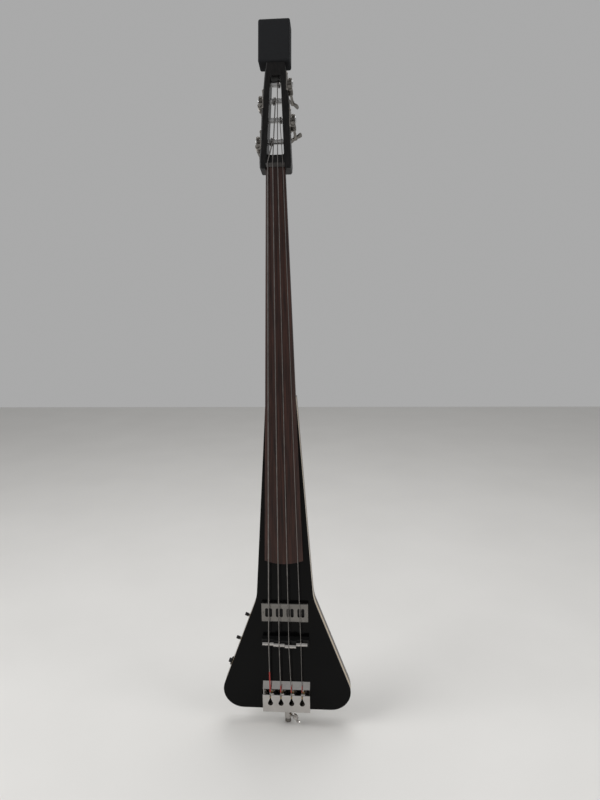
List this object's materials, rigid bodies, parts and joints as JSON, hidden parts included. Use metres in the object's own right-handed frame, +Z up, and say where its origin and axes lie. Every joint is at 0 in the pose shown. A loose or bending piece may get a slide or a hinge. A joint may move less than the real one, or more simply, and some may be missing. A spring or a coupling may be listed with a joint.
{
  "type": "electric double bass",
  "caption": "Slim electric upright bass with a wedge-shaped lower body, fretless neck, worm-geared tuning machines, bridge, pickup and sliding endpin.",
  "frame": {"origin": "middle of the endpin's foot, on the floor", "axes": "+Z up the instrument, -Y towards the player's audience (the front), +X the viewer's right"},
  "size_m": [0.3022, 0.1289, 1.5683],
  "materials": {
    "a_ball_end": "turned",
    "a_gear": "aged nickel",
    "a_roller": "turned",
    "a_saddle": "polished",
    "a_string": "wound",
    "a_tuner_key": "aged nickel",
    "a_tuner_plate": "aged nickel",
    "bay_cover": "satin",
    "bay_cover_screw_1": "aged nickel",
    "bay_cover_screw_2": "aged nickel",
    "bay_cover_screw_3": "aged nickel",
    "bay_cover_screw_4": "aged nickel",
    "body_back": "satin lacquer",
    "body_core": "clear lacquer",
    "body_top": "gloss black lacquer",
    "bridge_base": "satin",
    "d_ball_end": "turned",
    "d_gear": "aged nickel",
    "d_roller": "turned",
    "d_saddle": "polished",
    "d_string": "wound",
    "d_tuner_key": "aged nickel",
    "d_tuner_plate": "aged nickel",
    "e_ball_end": "turned",
    "e_gear": "aged nickel",
    "e_roller": "turned",
    "e_saddle": "polished",
    "e_string": "wound",
    "e_tuner_key": "aged nickel",
    "e_tuner_plate": "aged nickel",
    "endpin_collar": "polished",
    "endpin_rod": "ground",
    "endpin_tip": "worn",
    "endpin_wing_screw": "polished",
    "fingerboard": "oiled",
    "g_ball_end": "turned",
    "g_gear": "aged nickel",
    "g_roller": "turned",
    "g_saddle": "polished",
    "g_string": "wound",
    "g_tuner_key": "aged nickel",
    "g_tuner_plate": "aged nickel",
    "head_block": "textured",
    "jack_nut": "aged nickel",
    "neck": "satin black",
    "nut": "polished",
    "output_jack": "satin",
    "pickup_bobbin": "moulded",
    "pickup_coil": "enamelled wire",
    "pickup_cover": "polished",
    "tailpiece": "polished",
    "tone_knob": "satin",
    "tone_pot": "aged nickel",
    "volume_knob": "satin",
    "volume_pot": "aged nickel"
  },
  "bodies": {
    "frame": {"a_ball_end": "a_ball_end", "a_string": "a_string", "a_tuner_plate": "a_tuner_plate", "bay_cover": "bay_cover", "bay_cover_screw_1": "bay_cover_screw_1", "bay_cover_screw_2": "bay_cover_screw_2", "bay_cover_screw_3": "bay_cover_screw_3", "bay_cover_screw_4": "bay_cover_screw_4", "body_back": "body_back", "body_core": "body_core", "body_top": "body_top", "bridge_base": "bridge_base", "d_ball_end": "d_ball_end", "d_string": "d_string", "d_tuner_plate": "d_tuner_plate", "e_ball_end": "e_ball_end", "e_string": "e_string", "e_tuner_plate": "e_tuner_plate", "endpin_collar": "endpin_collar", "fingerboard": "fingerboard", "g_ball_end": "g_ball_end", "g_string": "g_string", "g_tuner_plate": "g_tuner_plate", "head_block": "head_block", "jack_nut": "jack_nut", "neck": "neck", "nut": "nut", "output_jack": "output_jack", "pickup_bobbin": "pickup_bobbin", "pickup_coil": "pickup_coil", "pickup_cover": "pickup_cover", "tailpiece": "tailpiece", "tone_pot": "tone_pot", "volume_pot": "volume_pot"},
    "e_roller": {"e_roller": "e_roller", "e_gear": "e_gear"},
    "e_key": {"e_tuner_key": "e_tuner_key"},
    "e_saddle": {"e_saddle": "e_saddle"},
    "a_roller": {"a_roller": "a_roller", "a_gear": "a_gear"},
    "a_key": {"a_tuner_key": "a_tuner_key"},
    "a_saddle": {"a_saddle": "a_saddle"},
    "d_roller": {"d_roller": "d_roller", "d_gear": "d_gear"},
    "d_key": {"d_tuner_key": "d_tuner_key"},
    "d_saddle": {"d_saddle": "d_saddle"},
    "g_roller": {"g_roller": "g_roller", "g_gear": "g_gear"},
    "g_key": {"g_tuner_key": "g_tuner_key"},
    "g_saddle": {"g_saddle": "g_saddle"},
    "endpin": {"endpin_rod": "endpin_rod", "endpin_tip": "endpin_tip"},
    "wing_screw": {"endpin_wing_screw": "endpin_wing_screw"},
    "volume_knob": {"volume_knob": "volume_knob"},
    "tone_knob": {"tone_knob": "tone_knob"}
  },
  "joints": [
    {"name": "e_key_turn", "type": "hinge", "parent": "frame", "child": "e_key", "pos_m": [-0.03676, -0.00412, 1.31199], "axis": [0, 0.9781, -0.2079], "continuous": true},
    {"name": "e_roller_turn", "type": "hinge", "parent": "frame", "child": "e_roller", "pos_m": [0, -0.00121, 1.32569], "axis": [1, 0, 0], "continuous": true},
    {"name": "e_saddle_slide", "type": "slide", "parent": "frame", "child": "e_saddle", "axis": [0, 0, 1], "range_m": [-0.003, 0.003]},
    {"name": "a_key_turn", "type": "hinge", "parent": "frame", "child": "a_key", "pos_m": [-0.03218, 0.01324, 1.39367], "axis": [0, 0.9781, -0.2079], "continuous": true},
    {"name": "a_roller_turn", "type": "hinge", "parent": "frame", "child": "a_roller", "pos_m": [0, 0.01615, 1.40736], "axis": [1, 0, 0], "continuous": true},
    {"name": "a_saddle_slide", "type": "slide", "parent": "frame", "child": "a_saddle", "axis": [0, 0, 1], "range_m": [-0.003, 0.003]},
    {"name": "d_key_turn", "type": "hinge", "parent": "frame", "child": "d_key", "pos_m": [0.02899, 0.02052, 1.4279], "axis": [0, 0.9781, -0.2079], "continuous": true},
    {"name": "d_roller_turn", "type": "hinge", "parent": "frame", "child": "d_roller", "pos_m": [0, 0.02343, 1.4416], "axis": [1, 0, 0], "continuous": true},
    {"name": "d_saddle_slide", "type": "slide", "parent": "frame", "child": "d_saddle", "axis": [0, 0, 1], "range_m": [-0.003, 0.003]},
    {"name": "g_key_turn", "type": "hinge", "parent": "frame", "child": "g_key", "pos_m": [0.03549, 0.00503, 1.35503], "axis": [0, 0.9781, -0.2079], "continuous": true},
    {"name": "g_roller_turn", "type": "hinge", "parent": "frame", "child": "g_roller", "pos_m": [0, 0.00794, 1.36873], "axis": [1, 0, 0], "continuous": true},
    {"name": "g_saddle_slide", "type": "slide", "parent": "frame", "child": "g_saddle", "axis": [0, 0, 1], "range_m": [-0.003, 0.003]},
    {"name": "endpin_slide", "type": "slide", "parent": "frame", "child": "endpin", "axis": [0, 0, -1], "range_m": [0, 0.22]},
    {"name": "wing_screw_turn", "type": "hinge", "parent": "frame", "child": "wing_screw", "pos_m": [0, 0, 0.0205], "axis": [0.788, -0.6157, 0], "range_deg": [0, 540]},
    {"name": "volume_turn", "type": "hinge", "parent": "frame", "child": "volume_knob", "pos_m": [-0.08695, 0.004, 0.274], "axis": [-0.9359, 0, 0.3522], "range_deg": [0, 300]},
    {"name": "tone_turn", "type": "hinge", "parent": "frame", "child": "tone_knob", "pos_m": [-0.10972, 0.004, 0.2135], "axis": [-0.9359, 0, 0.3522], "range_deg": [0, 300]}
  ],
  "couplings": [
    {"joint": "e_roller_turn", "follows": "e_key_turn", "ratio": -0.05},
    {"joint": "a_roller_turn", "follows": "a_key_turn", "ratio": -0.05},
    {"joint": "d_roller_turn", "follows": "d_key_turn", "ratio": -0.05},
    {"joint": "g_roller_turn", "follows": "g_key_turn", "ratio": -0.05}
  ]
}
